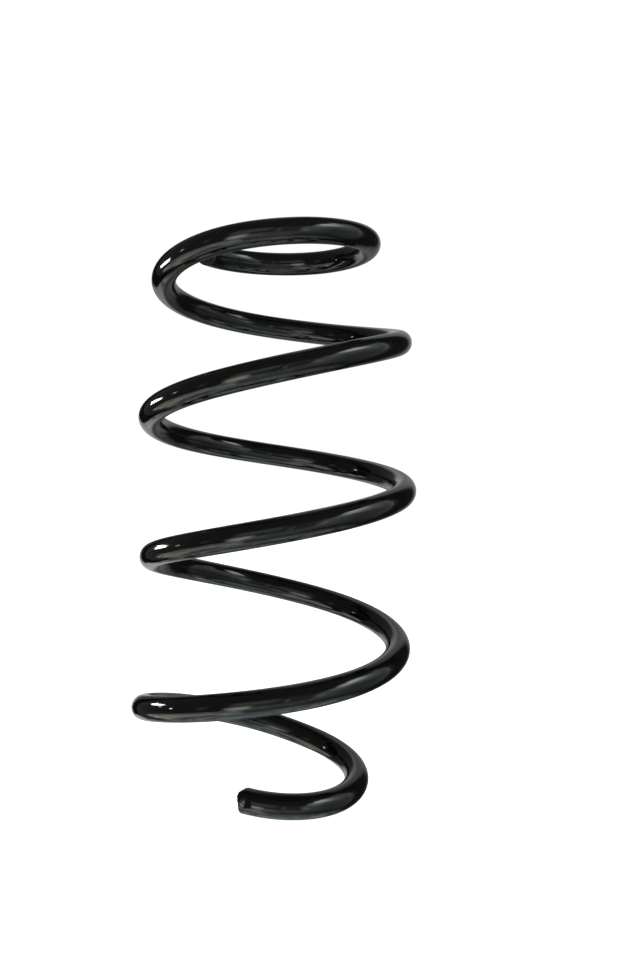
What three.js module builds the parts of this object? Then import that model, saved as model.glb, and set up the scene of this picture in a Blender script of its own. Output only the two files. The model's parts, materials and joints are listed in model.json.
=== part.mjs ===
// Suspension coil spring, in millimetres, +Z up along the coil's axis.
// The origin is on the axis, at the height of the wire's lowest point, where the spring sits on its
// lower seat. The spring is one round bar, wound right-handed from a small lower end coil, through
// four full-size turns, to a small upper end coil that lies flat.
// The bar is made here as a row of stretches, each an eighth of a turn, so that it can be
// compressed: every cut between two stretches is where the next one turns about the wire.

import * as THREE from 'three';

// Driving dimensions, in millimetres, degrees and turns.
const WIRE_DIAMETER = 13;
const LOWER_END_AZIMUTH = -110; // where the wire starts; 0 is +X, -90 is -Y
const STRETCHES_PER_TURN = 8;
const CUT_GAP = 0.3; // between the end faces of two stretches

// How finely a stretch is faceted.
const SECTION_SIDES = 16;
const STEPS_PER_STRETCH = 5;

// Stretches that lie on a seat and don't twist.
const LOWER_SEATED_STRETCHES = 3;
const UPPER_SEATED_STRETCHES = 4;

// The winding, every quarter turn: the coil's radius and the height of the wire's centre.
const STATIONS = [
  { turn: 0, radius: 38, height: 10 }, // lower end, raised a little off its seat
  { turn: 0.25, radius: 42, height: 6.95 }, // lowest point, on the lower seat
  { turn: 0.5, radius: 53.5, height: 18.5 },
  { turn: 0.75, radius: 69, height: 43.5 },
  { turn: 1, radius: 68, height: 63 }, // full size from here
  { turn: 1.25, radius: 66.5, height: 78.5 },
  { turn: 1.5, radius: 65, height: 100 },
  { turn: 1.75, radius: 65.5, height: 123 },
  { turn: 2, radius: 67.5, height: 142.5 },
  { turn: 2.25, radius: 68.5, height: 162.5 },
  { turn: 2.5, radius: 69, height: 181.5 },
  { turn: 2.75, radius: 67.5, height: 197.5 },
  { turn: 3, radius: 66.5, height: 218 },
  { turn: 3.25, radius: 65.5, height: 241.5 },
  { turn: 3.5, radius: 66.5, height: 259 }, // starts to close in
  { turn: 3.75, radius: 63, height: 272.5 },
  { turn: 4, radius: 56, height: 289.5 },
  { turn: 4.25, radius: 49.5, height: 297.5 }, // flat from here, on the upper seat
  { turn: 4.5, radius: 46, height: 297.5 },
  { turn: 4.75, radius: 45, height: 297.5 }, // upper end
];
const TURNS = STATIONS[STATIONS.length - 1].turn;
const STRETCHES = TURNS * STRETCHES_PER_TURN;

// The slope of one column of the stations at each station: inside, the slope of the parabola
// through a station and its neighbours, and at either end, the one that bends least.
function slopes(column) {
  const rises = [];
  const runs = [];
  for (let i = 1; i < STATIONS.length; i += 1) {
    runs.push(STATIONS[i].turn - STATIONS[i - 1].turn);
    rises.push((STATIONS[i][column] - STATIONS[i - 1][column]) / runs[i - 1]);
  }
  const found = [0];
  for (let i = 1; i < rises.length; i += 1) {
    found.push((rises[i - 1] * runs[i] + rises[i] * runs[i - 1]) / (runs[i - 1] + runs[i]));
  }
  const last = rises.length;
  found[0] = 1.5 * rises[0] - 0.5 * found[1];
  found.push(1.5 * rises[last - 1] - 0.5 * found[last - 1]);
  return found;
}

const SLOPES = { radius: slopes('radius'), height: slopes('height') };

// One column of the stations at any turn, by the cubic that joins its two nearest stations.
function between(column, turn) {
  const next = STATIONS.findIndex((station) => station.turn > turn);
  const i = next < 0 ? STATIONS.length - 2 : Math.max(next - 1, 0);
  const run = STATIONS[i + 1].turn - STATIONS[i].turn;
  const u = (turn - STATIONS[i].turn) / run;
  const v = 1 - u;
  const level = STATIONS[i][column] * (1 + 2 * u) * v * v + STATIONS[i + 1][column] * (1 + 2 * v) * u * u;
  const bend = SLOPES[column][i] * u * v * v - SLOPES[column][i + 1] * u * u * v;
  return level + run * bend;
}

// The centre of the wire at any turn.
function wireCentre(turn, target) {
  const azimuth = THREE.MathUtils.degToRad(LOWER_END_AZIMUTH + 360 * turn);
  const radius = between('radius', turn);
  return target.set(radius * Math.cos(azimuth), radius * Math.sin(azimuth), between('height', turn));
}

// The centreline of the wire from one turn to another.
class WireLine extends THREE.Curve {
  constructor(from, to) {
    super();
    this.from = from;
    this.to = to;
  }

  getPoint(share, target = new THREE.Vector3()) {
    return wireCentre(this.from + (this.to - this.from) * share, target);
  }
}

// The round section of the wire.
function wireSection() {
  const corners = [];
  for (let i = 0; i < SECTION_SIDES; i += 1) {
    const angle = (2 * Math.PI * i) / SECTION_SIDES;
    corners.push(new THREE.Vector2(Math.cos(angle), Math.sin(angle)).multiplyScalar(WIRE_DIAMETER / 2));
  }
  return new THREE.Shape(corners);
}

// How much of a turn half the gap takes, where the wire's radius is that of this turn.
function halfGap(turn) {
  return CUT_GAP / 2 / (2 * Math.PI * between('radius', turn));
}

// One stretch of the wire, with flat ends square to it.
function wireStretch(index) {
  const from = index / STRETCHES_PER_TURN;
  const to = (index + 1) / STRETCHES_PER_TURN;
  const start = index > 0 ? from + halfGap(from) : from;
  const end = index < STRETCHES - 1 ? to - halfGap(to) : to;
  return new THREE.ExtrudeGeometry(wireSection(), {
    steps: STEPS_PER_STRETCH,
    bevelEnabled: false,
    extrudePath: new WireLine(start, end),
  });
}

// What a stretch is called: by its end coil, or by its turn and its place in that turn.
function stretchName(index) {
  const firstUpper = STRETCHES - UPPER_SEATED_STRETCHES;
  if (index === 0) return 'lower_wire_end';
  if (index === STRETCHES - 1) return 'upper_wire_end';
  if (index < LOWER_SEATED_STRETCHES) return `lower_seat_coil_${index}`;
  if (index >= firstUpper) return `upper_seat_coil_${index - firstUpper + 1}`;
  const turn = Math.floor(index / STRETCHES_PER_TURN) + 1;
  return `turn_${turn}_part_${(index % STRETCHES_PER_TURN) + 1}`;
}

// Gloss black stove enamel over the steel.
function blackEnamel() {
  return new THREE.MeshStandardMaterial({ color: 0x0b0b0c, roughness: 0.12, metalness: 0 });
}

const spring = new THREE.Group();
for (let index = 0; index < STRETCHES; index += 1) {
  const stretch = new THREE.Mesh(wireStretch(index), blackEnamel());
  stretch.name = stretchName(index);
  spring.add(stretch);
}

export default spring;
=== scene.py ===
"""Looks of a suspension coil spring: gloss black stove enamel on one round steel bar.

The wire is one fine tube, made along the same winding as the CAD model and shared out among the
CAD bodies: a piece for each stretch that twists, and one for each end coil. Only the lowest
piece hangs from its body.
Lengths are millimetres, as in the CAD source, and MM turns them into Blender's metres.
"""

import json
import math

import bpy
import numpy as np
from mathutils import Matrix


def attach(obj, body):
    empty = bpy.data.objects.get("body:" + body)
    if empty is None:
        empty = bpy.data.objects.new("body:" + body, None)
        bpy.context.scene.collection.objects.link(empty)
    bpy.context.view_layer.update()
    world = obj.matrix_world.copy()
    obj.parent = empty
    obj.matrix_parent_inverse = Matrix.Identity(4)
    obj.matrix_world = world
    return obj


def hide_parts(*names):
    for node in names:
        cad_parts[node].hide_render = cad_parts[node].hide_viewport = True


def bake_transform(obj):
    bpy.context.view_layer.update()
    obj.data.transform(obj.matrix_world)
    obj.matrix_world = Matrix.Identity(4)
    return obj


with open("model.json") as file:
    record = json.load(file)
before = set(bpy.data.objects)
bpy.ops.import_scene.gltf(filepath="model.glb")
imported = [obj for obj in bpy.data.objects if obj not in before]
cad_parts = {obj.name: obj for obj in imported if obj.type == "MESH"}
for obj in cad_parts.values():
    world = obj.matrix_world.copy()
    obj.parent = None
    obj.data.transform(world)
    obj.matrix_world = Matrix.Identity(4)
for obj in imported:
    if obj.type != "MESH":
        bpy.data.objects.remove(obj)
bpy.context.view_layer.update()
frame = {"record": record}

MM = 0.001

# The winding, every quarter turn: the coil's radius and the height of the wire's centre.
WIRE_RADIUS = 6.5
LOWER_END_AZIMUTH = -110.0
STATIONS_PER_TURN = 4
COIL_RADII = [38, 42, 53.5, 69, 68, 66.5, 65, 65.5, 67.5, 68.5]
COIL_RADII += [69, 67.5, 66.5, 65.5, 66.5, 63, 56, 49.5, 46, 45]
HEIGHTS = [10, 6.95, 18.5, 43.5, 63, 78.5, 100, 123, 142.5, 162.5]
HEIGHTS += [181.5, 197.5, 218, 241.5, 259, 272.5, 289.5, 297.5, 297.5, 297.5]
TURNS = (len(HEIGHTS) - 1) / STATIONS_PER_TURN
STRETCHES_PER_TURN = 8
STRETCHES = round(TURNS * STRETCHES_PER_TURN)
LOWER_SEATED_STRETCHES = 3
UPPER_SEATED_STRETCHES = 4

# How finely the wire is meshed.
RINGS_PER_STRETCH = 30
RING_CORNERS = 64
FACE_RINGS = 26

# How many of the places for a dust nib have one.
NIB_SHARE = 0.28

# How far from a sheared end the wire gives way behind the end's rim.
SHEAR_REACH = 7.0

# A dent in the side of the wire, next to its lower end.
DENT_FROM_END = 4.1
DENT_CORNER = 0.12
DENT_HALF_LENGTH = 1.8
DENT_HALF_WIDTH = 1.9
DENT_DEPTH = 0.55

# The seeds of the two torn end faces.
LOWER_TEAR = 4
UPPER_TEAR = 9

# The camera, level with the middle of the spring and a little to its right. Angles in radians.
CAMERA_PLACE = (51.65, -535.86, 175.72)
CAMERA_YAW = -0.0525
CAMERA_PITCH = -0.0073
CAMERA_ROLL = 0.0083
CAMERA_LENS = 37.34
CAMERA_NEAREST = 10.0

# The lamp, a soft box on the left.
LAMP_PLACE = (-556, 125, 220)
LAMP_TARGET = (-65, 0, 200)
LAMP_SIZE = (165, 75)
LAMP_RADIANCE = 30

# How bright the paper that the camera sees round the spring is, a little over white.
PAPER_WHITE = 1.05

# The floor's side, and how far it lies under the spring.
FLOOR_SIZE = 8000
FLOOR_GAP = 0.2

# The black card stands square to x between these y.
FLAG_X = -140
FLAG_Y = (34, 95)
FLAG_TOP = 360

# The studio that the enamel mirrors: where each panel's middle is (degrees right of straight
# behind the spring, degrees up), how far it reaches each way, how soft its edges are, its
# brightness and its tint.
PANELS = (
    ((-24, -22), (13, 20), 5, 0.55, (1.0, 0.98, 1.0)),
    ((-8, 34), (8, 26), 6, 0.50, (1.0, 0.98, 1.0)),
    ((14, 24), (12, 26), 6, 0.26, (1.0, 0.98, 1.0)),
    ((12, -22), (15, 20), 6, 0.15, (0.95, 1.0, 1.0)),
    ((-97, -38), (36, 12), 2, 1.45, (1.0, 0.99, 0.84)),
    ((-146, -47), (14, 19), 5, 1.30, (0.97, 1.0, 0.95)),
    ((-168, 12), (19, 12), 6, 0.60, (0.92, 1.0, 0.92)),
    ((-168, -28), (17, 16), 6, 0.85, (0.92, 1.0, 0.92)),
    ((-157, -14), (10, 9), 4, 3.00, (1.0, 0.99, 0.84)),
    ((-125, 2), (3, 9), 3, 0.35, (1.0, 0.93, 0.80)),
    ((-96, 4), (0.9, 1.6), 1.0, 22.0, (1.0, 1.0, 0.95)),
    ((165, 2), (1, 11), 2, 1.00, (1.0, 1.0, 1.0)),
    ((156, -8), (14, 32), 6, 0.15, (0.92, 1.0, 0.92)),
    ((159, -29), (16, 16), 7, 0.50, (0.92, 1.0, 0.92)),
    ((137, -3), (3, 8), 3, 0.90, (1.0, 1.0, 0.92)),
    ((0, -80), (200, 18), 8, 1.00, (0.84, 1.0, 1.0)),
    ((0, -56), (200, 8), 6, 0.50, (0.90, 0.98, 1.0)),
)
ROOM_TINT = (0.97, 1.0, 0.97)

# The reflector on the right is an arch: its edge is ARCH_TOP degrees up as far as ARCH_TURN
# degrees right, and it has fallen by ARCH_FALL when it is ARCH_WIDTH degrees further.
ARCH_TOP = 45
ARCH_FALL = 48
ARCH_TURN = 98
ARCH_WIDTH = 54
KEY_LEVEL = 5.2
GLOW_LEVEL = 0.95
REFLECTOR_TINT = (0.90, 0.98, 1.0)


def between(stations, turn):
    """A value given at every station, at any turn, by the cubics that the CAD model has."""
    level = np.array(stations, float)
    rise = np.diff(level)
    inside = (rise[:-1] + rise[1:]) / 2
    first = 1.5 * rise[0] - 0.5 * inside[0]
    final = 1.5 * rise[-1] - 0.5 * inside[-1]
    slope = np.concatenate([[first], inside, [final]])
    i = np.clip((turn * STATIONS_PER_TURN).astype(int), 0, len(level) - 2)
    u = turn * STATIONS_PER_TURN - i
    v = 1 - u
    straight = level[i] * (1 + 2 * u) * v * v + level[i + 1] * (1 + 2 * v) * u * u
    return straight + slope[i] * u * v * v - slope[i + 1] * u * u * v


def wire_centre(turn):
    """The centre of the wire at each turn."""
    turn = np.asarray(turn, float)
    azimuth = np.radians(LOWER_END_AZIMUTH + 360 * turn)
    radius = between(COIL_RADII, turn)
    height = between(HEIGHTS, turn)
    return np.stack([radius * np.cos(azimuth), radius * np.sin(azimuth), height], axis=-1)


def unit(v):
    return v / np.linalg.norm(v, axis=-1, keepdims=True)


def smooth(low, high, x):
    u = np.clip((x - low) / (high - low), 0, 1)
    return u * u * (3 - 2 * u)


# The wire as rings of points: along it, then round its section from the outside over the top.
turns = np.linspace(0, TURNS, STRETCHES * RINGS_PER_STRETCH + 1)
centres = wire_centre(turns)
along = unit(np.gradient(centres, turns, axis=0, edge_order=2))
outward = unit(np.cross(along, [0.0, 0.0, 1.0]))
upward = np.cross(outward, along)
steps = np.linalg.norm(np.diff(centres, axis=0), axis=1)
length = np.concatenate([[0], np.cumsum(steps)])
corner = np.linspace(0, 2 * math.pi, RING_CORNERS, endpoint=False)
radial = outward[:, None] * np.cos(corner)[:, None] + upward[:, None] * np.sin(corner)[:, None]
rings = centres[:, None] + WIRE_RADIUS * radial


def face_depth(x, y, seed):
    """How far a sheared end face lies behind its foremost point, at (x, y) across the wire.

    The blade rolls the top edge over and leaves a smooth band; under a score mark the steel tears.
    """
    rng = np.random.default_rng(seed)
    rolled_edge = 2.6 * smooth(4.5, 6.7, y) ** 1.2
    smooth_band = 0.35 * smooth(1.9, 2.7, y)
    torn_step = 0.75 * smooth(1.6, 0.3, y)
    torn_slope = 0.15 * smooth(0.3, -2.5, y)
    bottom_edge = 0.5 * smooth(4.6, 6.6, -y)
    score = 0.45 * np.exp(-(((y - 1.5 - 0.12 * x) / 0.6) ** 2))
    depth = rolled_edge - smooth_band + torn_step + torn_slope + bottom_edge + score

    # The tear is uneven, in ripples that run every way.
    for wave in range(1, 7):
        heading, phase = rng.uniform(0, 2 * math.pi, 2)
        across = x * math.cos(heading) + y * math.sin(heading)
        ripple = 1 + np.sin(1.1 * wave * across + phase)
        depth = depth + 0.09 / wave**0.7 * ripple * smooth(2.5, 0, y)
    rounded_rim = 0.55 * smooth(5.6, 6.5, np.hypot(x, y)) ** 2
    return depth + rounded_rim


def sheared(first, direction, seed):
    """The rings of an end face, from its rim inwards, and how far back each rim point is."""
    share = np.cos(np.linspace(0, math.pi / 2, FACE_RINGS)[:-1]) ** 0.8
    x = WIRE_RADIUS * share[:, None] * np.cos(corner)
    y = WIRE_RADIUS * share[:, None] * np.sin(corner)
    depth = face_depth(x, y, seed)
    flat = centres[first] + x[..., None] * outward[first] + y[..., None] * upward[first]
    return flat + direction * depth[..., None] * along[first], depth[0]


def settle(first, direction, rim):
    """Pushes the wire's last rings back behind the rim of its sheared end."""
    from_end = np.abs(length - length[first])
    near = from_end < SHEAR_REACH
    squeeze = (1 - from_end[near] / SHEAR_REACH) ** 2
    shift = direction * squeeze[:, None] * rim
    rings[near] += shift[..., None] * along[near][:, None]


dent_along = (length[:, None] - DENT_FROM_END) / DENT_HALF_LENGTH
dent_turn = np.angle(np.exp(1j * (corner - DENT_CORNER)))
dent_round = dent_turn * WIRE_RADIUS / DENT_HALF_WIDTH
rings -= (DENT_DEPTH * np.exp(-(dent_along**2) - dent_round**2))[..., None] * radial

last = len(turns) - 1
lower_face, lower_rim = sheared(0, 1.0, LOWER_TEAR)
upper_face, upper_rim = sheared(last, -1.0, UPPER_TEAR)
settle(0, 1.0, lower_rim)
settle(last, -1.0, upper_rim)
lower_middle = lower_face[-1].mean(axis=0)
upper_middle = upper_face[-1].mean(axis=0)

# Everything as one grid, from the middle of the lower face to the middle of the upper one. The
# first ring of the wire itself is the grid's ring number SHIFT.
grid = np.concatenate([lower_face[:0:-1], rings, upper_face[1:]])
SHIFT = len(lower_face) - 1
grid_length = np.concatenate([np.zeros(SHIFT), length, np.full(SHIFT, length[-1])])
on_face = np.concatenate([np.ones(SHIFT), np.zeros(len(turns)), np.ones(SHIFT)])
round_step = np.roll(grid, -1, axis=1) - np.roll(grid, 1, axis=1)
along_step = np.gradient(grid, axis=0)
grid_normals = unit(np.cross(round_step, along_step))


def linked(name, data):
    """A new object in the scene."""
    thing = bpy.data.objects.new(name, data)
    bpy.context.scene.collection.objects.link(thing)
    return thing


def add_attributes(mesh, points, first, final):
    """Gives the points their place at rest, their place on the wire, and whether they are cut."""
    count = final - first + 1
    place = mesh.attributes.new("rest_place", "FLOAT_VECTOR", "POINT")
    place.data.foreach_set("vector", (MM * np.array(points)).astype(np.float32).ravel())
    lie = np.zeros((len(points), 3))
    for row in range(count):
        here = slice(row * RING_CORNERS, (row + 1) * RING_CORNERS)
        lie[here, 0] = MM * grid_length[first + row]
        lie[here, 1] = np.cos(corner)
        lie[here, 2] = np.sin(corner)
    run = mesh.attributes.new("wire_run", "FLOAT_VECTOR", "POINT")
    run.data.foreach_set("vector", lie.astype(np.float32).ravel())
    cut = mesh.attributes.new("cut_face", "FLOAT", "POINT")
    bare = np.repeat(on_face[first : final + 1], RING_CORNERS)
    bare = np.concatenate([bare, on_face[[first, final]]])
    cut.data.foreach_set("value", bare.astype(np.float32))


def wire_piece(name, first, final):
    """One closed piece of the wire, of the rings from first to final of the grid."""
    count = final - first + 1
    points = list(grid[first : final + 1].reshape(-1, 3))
    normals = grid_normals[first : final + 1].reshape(-1, 3)
    faces, shading = [], []
    for ring in range(count - 1):
        a, b = ring * RING_CORNERS, (ring + 1) * RING_CORNERS
        for k in range(RING_CORNERS):
            n = (k + 1) % RING_CORNERS
            face = (a + k, a + n, b + n, b + k)
            faces.append(face)
            shading.append(normals[list(face)])

    # Each end is closed by a fan, round the middle of the sheared face or of the cut.
    ends = ((first, 0, -1.0, lower_middle), (final, count - 1, 1.0, upper_middle))
    for row, ring, sign, middle in ends:
        sheared_end = row in (0, len(grid) - 1)
        at = row - SHIFT
        points.append(middle if sheared_end else centres[at])
        facing = sign * along[np.clip(at, 0, last)]
        hub = len(points) - 1
        base = ring * RING_CORNERS
        for k in range(RING_CORNERS):
            n = (k + 1) % RING_CORNERS
            faces.append((base + n, base + k, hub) if sign < 0 else (base + k, base + n, hub))
            shading.append([facing] * 3)

    mesh = bpy.data.meshes.new(name)
    mesh.from_pydata([tuple(MM * p) for p in points], [], faces)
    mesh.shade_smooth()
    mesh.normals_split_custom_set([tuple(n) for face in shading for n in face])
    add_attributes(mesh, points, first, final)
    return linked(name, mesh)


class Nodes:
    """Adds shader nodes to a material or world, and links them."""

    def __init__(self, owner):
        owner.use_nodes = True
        self.tree = owner.node_tree
        self.tree.nodes.clear()

    def add(self, kind, inputs=None, **settings):
        node = self.tree.nodes.new("ShaderNode" + kind)
        for name, value in settings.items():
            setattr(node, name, value)
        for key, value in (inputs or {}).items():
            socket = node.inputs[key]
            if isinstance(value, bpy.types.NodeSocket):
                self.tree.links.new(value, socket)
            else:
                socket.default_value = value
        return node

    def math(self, operation, a, b=0.0):
        return self.add("Math", {0: a, 1: b}, operation=operation).outputs[0]

    def product(self, *factors):
        total = factors[0]
        for factor in factors[1:]:
            total = self.math("MULTIPLY", total, factor)
        return total

    def sum(self, *terms):
        total = terms[0]
        for term in terms[1:]:
            total = self.math("ADD", total, term)
        return total

    def ramp(self, value, low, high, to_low=0.0, to_high=1.0):
        ends = {"From Min": low, "From Max": high, "To Min": to_low, "To Max": to_high}
        node = self.add("MapRange", {"Value": value, **ends}, interpolation_type="SMOOTHSTEP")
        return node.outputs[0]

    def noise(self, place, scale, detail, roughness=0.5, stretch=None):
        if stretch:
            place = self.add("Mapping", {"Vector": place, "Scale": stretch}).outputs[0]
        inputs = {"Vector": place, "Scale": scale, "Detail": detail, "Roughness": roughness}
        return self.add("TexNoise", inputs).outputs[0]

    def attribute(self, name, output):
        return self.add("Attribute", attribute_name=name).outputs[output]


def enamel_material():
    """Gloss black stove enamel: orange peel, drawn lines, slow sags, and a few dust nibs."""
    material = bpy.data.materials.new("black_enamel")
    n = Nodes(material)
    place = n.attribute("rest_place", "Vector")
    run = n.attribute("wire_run", "Vector")
    cut = n.attribute("cut_face", "Fac")

    # Scales are waves in a metre. In `run` the last two go round the wire instead.
    peel = n.noise(place, 420.0, 2.0, 0.45)
    sag = n.noise(run, 1.0, 2.0, stretch=(28.0, 2.6, 2.6))
    lines = n.noise(run, 1.0, 2.0, stretch=(30.0, 9.5, 9.5))
    coarse = n.noise(place, 900.0, 6.0, 0.7)
    cells = n.add("TexVoronoi", {"Vector": place, "Scale": 95.0, "Randomness": 1.0}, feature="F1")
    cell = n.add("SeparateXYZ", {0: cells.outputs["Color"]}).outputs[0]
    rare = n.math("GREATER_THAN", cell, 1 - NIB_SHARE)
    nib = n.product(n.ramp(cells.outputs["Distance"], 0.045, 0.0), rare)

    # Heights of the bump, in millimetres.
    height = n.sum(
        n.product(sag, 0.05),
        n.product(lines, 0.065),
        n.product(peel, 0.0035),
        n.product(nib, 0.035),
        n.product(coarse, cut, 0.12),
    )
    bump = n.add("Bump", {"Strength": 1.0, "Distance": MM, "Height": height}).outputs[0]

    cloud = n.noise(place, 38.0, 3.0)
    haze = n.noise(place, 160.0, 4.0)
    rough = n.sum(n.ramp(cloud, 0.3, 0.7, 0.045, 0.085), n.product(nib, 0.25), n.product(cut, 0.3))
    tone = n.ramp(n.sum(n.product(cloud, 0.6), n.product(haze, 0.4)), 0.35, 0.65)
    black = {"Factor": tone, "A": (0.0016, 0.0018, 0.0017, 1), "B": (0.0034, 0.0036, 0.0032, 1)}
    colour = n.add("Mix", black, data_type="RGBA").outputs["Result"]
    dust = {"Factor": n.product(nib, 0.5), "B": (0.045, 0.043, 0.040, 1)}
    dusty = n.add("Mix", dust, data_type="RGBA")
    n.tree.links.new(colour, dusty.inputs["A"])
    coat = {"Base Color": dusty.outputs["Result"], "Roughness": rough, "IOR": 1.5, "Normal": bump}
    n.add("OutputMaterial", {"Surface": n.add("BsdfPrincipled", coat).outputs[0]})
    return material


# The pieces, from the lower end to the upper one.
enamel = enamel_material()
bodies = frame["record"]["behaviour"]["bodies"]
cuts = range(LOWER_SEATED_STRETCHES, STRETCHES - UPPER_SEATED_STRETCHES + 1)
edges = [0, *[cut * RINGS_PER_STRETCH + SHIFT for cut in cuts], len(grid) - 1]
below = None
for index, (body, nodes) in enumerate(bodies.items()):
    piece = wire_piece(f"wire_{body}", edges[index], edges[index + 1])
    piece.data.materials.append(enamel)
    if below is None:
        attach(piece, body)
    else:
        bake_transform(piece)
    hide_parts(*nodes)
    below = body


def stand(thing, right, above, back, place):
    """Puts a camera or lamp at place, with its own three axes along right, above and back."""
    pose = np.eye(4)
    pose[:3, 0], pose[:3, 1], pose[:3, 2] = right, above, back
    pose[:3, 3] = MM * np.array(place, float)
    thing.matrix_world = Matrix(pose.tolist())


def add_camera():
    level = math.cos(CAMERA_PITCH)
    ahead = [math.sin(CAMERA_YAW) * level, math.cos(CAMERA_YAW) * level, math.sin(CAMERA_PITCH)]
    ahead = np.array(ahead)
    right = np.array([math.cos(CAMERA_YAW), -math.sin(CAMERA_YAW), 0.0])
    above = np.cross(right, ahead)
    rolled_right = right * math.cos(CAMERA_ROLL) + above * math.sin(CAMERA_ROLL)
    rolled_above = above * math.cos(CAMERA_ROLL) - right * math.sin(CAMERA_ROLL)
    camera = linked("camera", bpy.data.cameras.new("camera"))
    camera.data.lens = CAMERA_LENS
    camera.data.clip_start = MM * CAMERA_NEAREST
    stand(camera, rolled_right, rolled_above, -ahead, CAMERA_PLACE)
    bpy.context.scene.camera = camera


def add_lamp():
    lamp = linked("lamp", bpy.data.lights.new("lamp", "AREA"))
    lamp.data.shape = "RECTANGLE"
    lamp.data.size, lamp.data.size_y = MM * LAMP_SIZE[0], MM * LAMP_SIZE[1]
    lamp.data.energy = LAMP_RADIANCE * math.pi * lamp.data.size * lamp.data.size_y
    back = unit(np.array(LAMP_PLACE, float) - np.array(LAMP_TARGET, float))
    side = unit(np.cross([0.0, 0.0, 1.0], back))
    stand(lamp, side, np.cross(back, side), back, LAMP_PLACE)
    lamp.visible_camera = False


def panel_light(n, azimuth, elevation, banded, panel):
    """The light of one panel, as a colour."""
    (right_of, up), (wide, high), soft, level, tint = panel
    turned = n.math("SUBTRACT", azimuth, right_of)
    turned = n.add("Math", {0: turned, 1: 180.0, 2: -180.0}, operation="WRAP").outputs[0]
    across = n.math("ABSOLUTE", turned)
    over = n.math("ABSOLUTE", n.math("SUBTRACT", elevation, up))
    shape = n.product(
        n.ramp(across, wide + soft, wide - soft),
        n.ramp(over, high + soft, high - soft),
    )
    return tinted(n, n.product(shape, banded, level), tint)


def reflector_light(n, azimuth, elevation):
    """The light of the arched reflector, whose key light is on the top of its arch."""
    beyond = n.math("DIVIDE", n.math("SUBTRACT", azimuth, ARCH_TURN), ARCH_WIDTH)
    beyond = n.add("Clamp", {0: beyond}).outputs[0]
    arch = n.math("SUBTRACT", ARCH_TOP, n.product(beyond, beyond, ARCH_FALL))
    under = n.math("SUBTRACT", arch, elevation)
    sides = n.product(n.ramp(azimuth, 67.4, 68.6), n.ramp(azimuth, 145, 143))
    board = n.product(sides, n.ramp(under, -1.5, 1.5))

    # The whole board, its left edge, the key light and the glow round it, and its right rim.
    fill = n.product(n.ramp(azimuth, 104, 132, 0.27, 0.62), n.ramp(elevation, -48, -14))
    edge = n.product(n.ramp(azimuth, 78, 69), n.ramp(elevation, -14, 20, 0.0, 0.45))
    key_width = n.product(n.ramp(azimuth, 84, 104), n.ramp(azimuth, 134, 108))
    key = n.product(key_width, n.ramp(under, 22, 3), KEY_LEVEL)
    glow_width = n.product(n.ramp(azimuth, 68, 88), n.ramp(azimuth, 150, 100))
    glow = n.product(glow_width, n.ramp(under, 44, 8), GLOW_LEVEL)
    rim = n.product(n.ramp(under, 5, 2), n.ramp(azimuth, 120, 130, 0.0, 0.6))
    return tinted(n, n.product(board, n.sum(fill, edge, key, glow, rim)), REFLECTOR_TINT)


def tinted(n, level, tint):
    return n.add("CombineColor", {k: n.product(level, tint[k]) for k in range(3)}).outputs[0]


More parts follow.
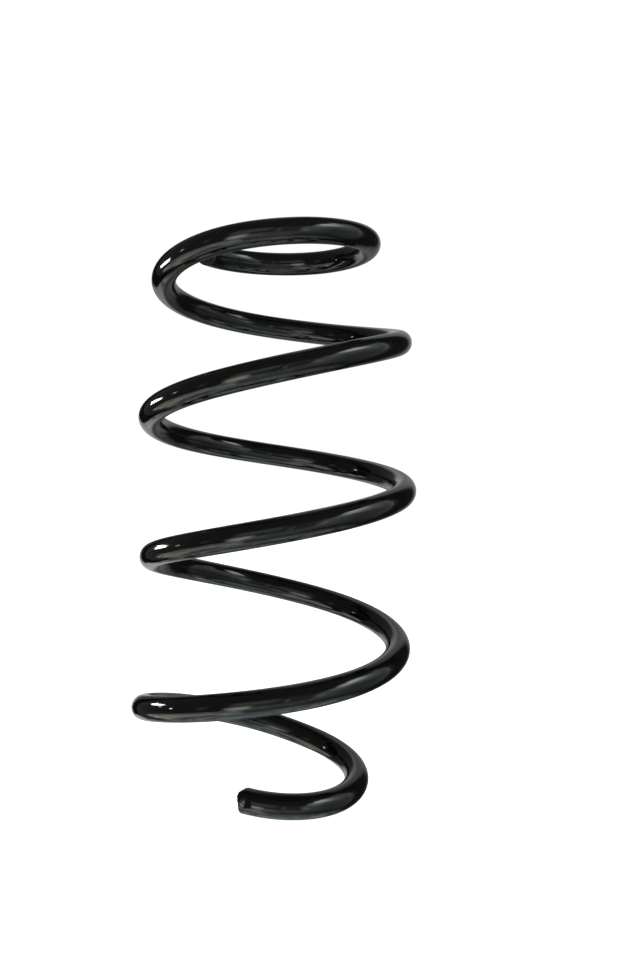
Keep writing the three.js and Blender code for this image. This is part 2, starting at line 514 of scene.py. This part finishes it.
def add_world():
    """A white studio: pale panels and an arched reflector in a dim room."""
    world = bpy.data.worlds.new("studio")
    bpy.context.scene.world = world
    n = Nodes(world)
    heading = n.add("TexCoord").outputs["Generated"]
    x, y, z = n.add("SeparateXYZ", {0: heading}).outputs
    azimuth = n.math("DEGREES", n.math("ARCTAN2", x, y))
    elevation = n.math("DEGREES", n.math("ARCSINE", z))

    # Below the spring the studio is cluttered: its brightness comes in level bands.
    place = {0: n.product(azimuth, 0.012), 1: n.product(elevation, 0.22)}
    place = n.add("CombineXYZ", place).outputs[0]
    bands = n.ramp(n.noise(place, 1.0, 2.0, 0.6), 0.36, 0.62, 0.4, 1.5)
    low_down = n.ramp(elevation, -12, -20)
    banded = n.add("Mix", {0: low_down, 2: 1.0, 3: bands}).outputs[0]

    # The room is dim, and dimmer still on the right behind the spring.
    gloom = n.product(n.ramp(azimuth, 18, 27), n.ramp(azimuth, 66, 58))
    bright = n.math("SUBTRACT", 1.0, n.product(gloom, 0.75))
    room = n.product(n.ramp(elevation, -20, 10, 0.09, 0.11), bright)

    lights = [tinted(n, room, ROOM_TINT)]
    lights += [panel_light(n, azimuth, elevation, banded, panel) for panel in PANELS]
    lights.append(reflector_light(n, azimuth, elevation))
    total = lights[0]
    for light in lights[1:]:
        total = n.add("VectorMath", {0: total, 1: light}, operation="ADD").outputs[0]

    studio = n.add("Background", {"Color": total, "Strength": 1.0}).outputs[0]
    white = n.add("Background", {"Color": (1, 1, 1, 1), "Strength": PAPER_WHITE}).outputs[0]
    seen = n.add("LightPath").outputs["Is Camera Ray"]
    both = n.add("MixShader", {0: seen, 1: studio, 2: white}).outputs[0]
    n.add("OutputWorld", {"Surface": both})


def add_sheet(name, corners, material_name):
    """A flat sheet of the studio, and the nodes of its material."""
    mesh = bpy.data.meshes.new(name)
    mesh.from_pydata([tuple(MM * c for c in corner) for corner in corners], [], [(0, 1, 2, 3)])
    material = bpy.data.materials.new(material_name)
    mesh.materials.append(material)
    return linked(name, mesh), Nodes(material)


def add_floor():
    """A pale sheet just under the spring, as bright as what is behind it."""
    half = FLOOR_SIZE / 2
    corners = [(-half, -half, 0), (half, -half, 0), (half, half, 0), (-half, half, 0)]
    floor, n = add_sheet("floor", corners, "pale_paper")
    floor.location.z = -MM * FLOOR_GAP
    grain = n.add("TexNoise", {"Scale": 60.0, "Detail": 3.0}).outputs[0]
    tone = n.ramp(grain, 0.3, 0.7, 0.8, 0.82)
    colour = n.add("CombineColor", {0: tone, 1: tone, 2: tone}).outputs[0]
    paper = n.add("BsdfDiffuse", {"Color": colour}).outputs[0]
    glow = n.add("Emission", {"Color": (1, 1, 1, 1), "Strength": PAPER_WHITE}).outputs[0]
    n.add("OutputMaterial", {"Surface": n.add("AddShader", {0: paper, 1: glow}).outputs[0]})
    floor.visible_glossy = False


def add_flag():
    """A narrow black card, left of the spring, that keeps the lamp off the inside of the coils."""
    left, front, rear, top = FLAG_X, *FLAG_Y, FLAG_TOP
    corners = [(left, front, 0), (left, rear, 0), (left, rear, top), (left, front, top)]
    card, n = add_sheet("flag", corners, "black_card")
    black = n.add("BsdfDiffuse", {"Color": (0.01, 0.01, 0.01, 1)}).outputs[0]
    n.add("OutputMaterial", {"Surface": black})
    card.visible_camera = False


add_camera()
add_lamp()
add_world()
add_floor()
add_flag()
bpy.context.scene.view_settings.view_transform = "Standard"
